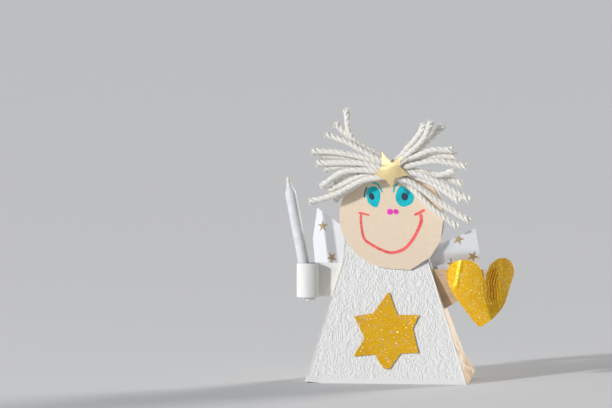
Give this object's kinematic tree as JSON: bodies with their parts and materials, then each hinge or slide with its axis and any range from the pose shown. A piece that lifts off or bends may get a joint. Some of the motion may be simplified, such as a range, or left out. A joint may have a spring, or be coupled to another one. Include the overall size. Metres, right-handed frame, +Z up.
{
  "type": "paper angel doll",
  "caption": "Hand-made paper angel doll: folded card body in an embossed dress, round paper face, yarn hair, folding wings, and arms that hold a candle and a gold heart.",
  "frame": {"origin": "middle of the body's base, on the surface that the doll stands on", "axes": "+Z up, -Y the way the face looks, +X to the viewer's right, towards the heart"},
  "size_m": [0.1242, 0.041, 0.1492],
  "materials": {
    "body_card": "matte",
    "gusset_card": "matte",
    "embossed_paper": "matte",
    "gold_glitter": "satin",
    "foam": "matte",
    "white_card": "matte",
    "glue": "satin",
    "face_card": "matte",
    "gold_card": "satin",
    "yarn": "matte",
    "printed_paper": "matte",
    "arm_paper": "matte",
    "tan_paper": "matte",
    "wax": "satin",
    "wick": "matte",
    "gold_film": "gloss"
  },
  "bodies": {
    "doll": {"front_panel": "body_card", "back_panel": "body_card", "left_gusset": "gusset_card", "right_gusset": "gusset_card", "base_card": "gusset_card", "dress_front": "embossed_paper", "dress_back": "embossed_paper", "chest_star": "gold_glitter", "head_pad": "foam", "head_backing": "white_card", "face_glue": "glue", "face_disc": "face_card", "forehead_star": "gold_card", "hair_01": "yarn", "hair_02": "yarn", "hair_03": "yarn", "hair_04": "yarn", "hair_05": "yarn", "hair_06": "yarn", "hair_07": "yarn", "hair_08": "yarn", "hair_09": "yarn", "hair_10": "yarn", "hair_11": "yarn", "hair_12": "yarn", "wing_centre": "printed_paper", "left_arm_tab": "arm_paper", "right_arm_tab": "tan_paper"},
    "left_wing_flap": {"left_wing": "printed_paper"},
    "right_wing_flap": {"right_wing": "printed_paper"},
    "left_arm_strip": {"left_arm": "arm_paper"},
    "candle_stick": {"candle": "wax", "wick": "wick"},
    "right_arm_strip": {"right_arm": "tan_paper", "gold_heart": "gold_film"}
  },
  "joints": [
    {"name": "left_wing_fold", "type": "hinge", "parent": "doll", "child": "left_wing_flap", "pos_m": [-0.008, 0.0011, 0.074], "axis": [0, 0, -1], "range_deg": [-18, 45]},
    {"name": "right_wing_fold", "type": "hinge", "parent": "doll", "child": "right_wing_flap", "pos_m": [0.008, 0.0011, 0.074], "axis": [0, 0, 1], "range_deg": [-4, 60]},
    {"name": "left_arm_fold", "type": "hinge", "parent": "doll", "child": "left_arm_strip", "pos_m": [-0.02922, 0, 0.055], "axis": [0.2726, 0, 0.9621], "range_deg": [0, 45]},
    {"name": "candle_slide", "type": "slide", "parent": "left_arm_strip", "child": "candle_stick", "axis": [-0.187, 0, 0.9824], "range_m": [0, 0.03]},
    {"name": "right_arm_fold", "type": "hinge", "parent": "doll", "child": "right_arm_strip", "pos_m": [0.02715, 0, 0.05], "axis": [0.3329, 0, -0.943], "range_deg": [0, 45]}
  ]
}
